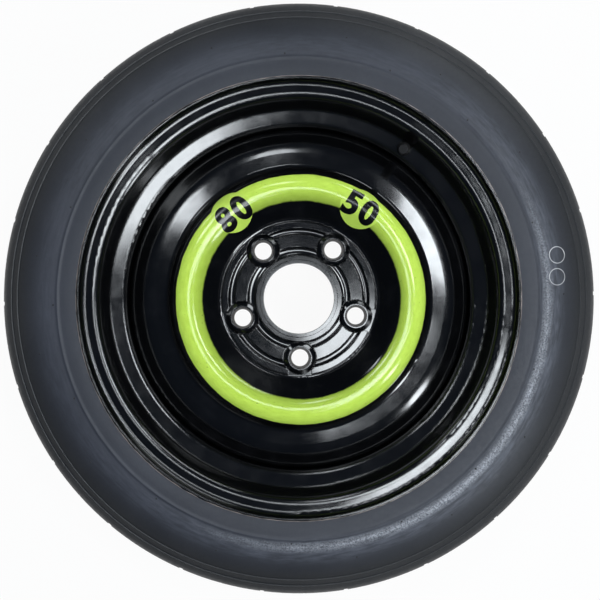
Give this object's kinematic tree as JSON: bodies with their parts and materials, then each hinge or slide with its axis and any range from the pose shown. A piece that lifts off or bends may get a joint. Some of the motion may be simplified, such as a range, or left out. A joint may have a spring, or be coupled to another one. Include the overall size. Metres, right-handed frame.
{
  "type": "spare wheel",
  "caption": "Temporary-use car spare wheel: narrow tyre on a black pressed-steel wheel with a green crest ring, bolt holes, centre bore and snap-in valve.",
  "frame": {"origin": "wheel centre: on the spin axis at the tyre's mid-plane", "axes": "+Z along the spin axis towards the street side; -Y towards one bolt hole, with the wheel lying face up"},
  "size_m": [0.581, 0.581, 0.125],
  "materials": {
    "tyre": "matte",
    "black_steel": "gloss",
    "weld": "satin",
    "label_film": "satin",
    "valve_rubber": "matte",
    "brass": "satin",
    "cap_plastic": "matte",
    "seal_rubber": "matte",
    "seal_white": "matte",
    "spring_steel": "satin"
  },
  "bodies": {
    "wheel": {"tyre": "tyre", "rim": "black_steel", "wheel_disc": "black_steel", "weld_beads": "weld", "speed_label_left": "label_film", "speed_label_right": "label_film", "valve_rubber": "valve_rubber", "valve_stem": "brass", "core_plug": "brass", "core_gasket": "seal_white", "core_sleeve": "brass", "core_spring": "spring_steel"},
    "cap_travel": {"cap_seal": "seal_rubber"},
    "cap": {"valve_cap": "cap_plastic"},
    "pin": {"core_pin": "brass", "core_cup": "brass", "core_washer": "seal_rubber"}
  },
  "joints": [
    {"name": "cap_lift", "type": "slide", "parent": "wheel", "child": "cap_travel", "axis": [-0.1816, -0.25, 0.9511], "range_m": [0, 0.00556]},
    {"name": "cap_turn", "type": "hinge", "parent": "cap_travel", "child": "cap", "pos_m": [0.09993, 0.13755, 0.05449], "axis": [-0.1816, -0.25, 0.9511], "range_deg": [0, 2520]},
    {"name": "pin_press", "type": "slide", "parent": "wheel", "child": "pin", "axis": [0.1816, 0.25, -0.9511], "range_m": [0, 0.0012], "stiffness_N_per_m": 300, "springref_m": -0.0016, "deforming": ["core_spring"]}
  ],
  "couplings": [
    {"joint": "cap_turn", "follows": "cap_lift", "rad_per_m": 7915.8}
  ]
}
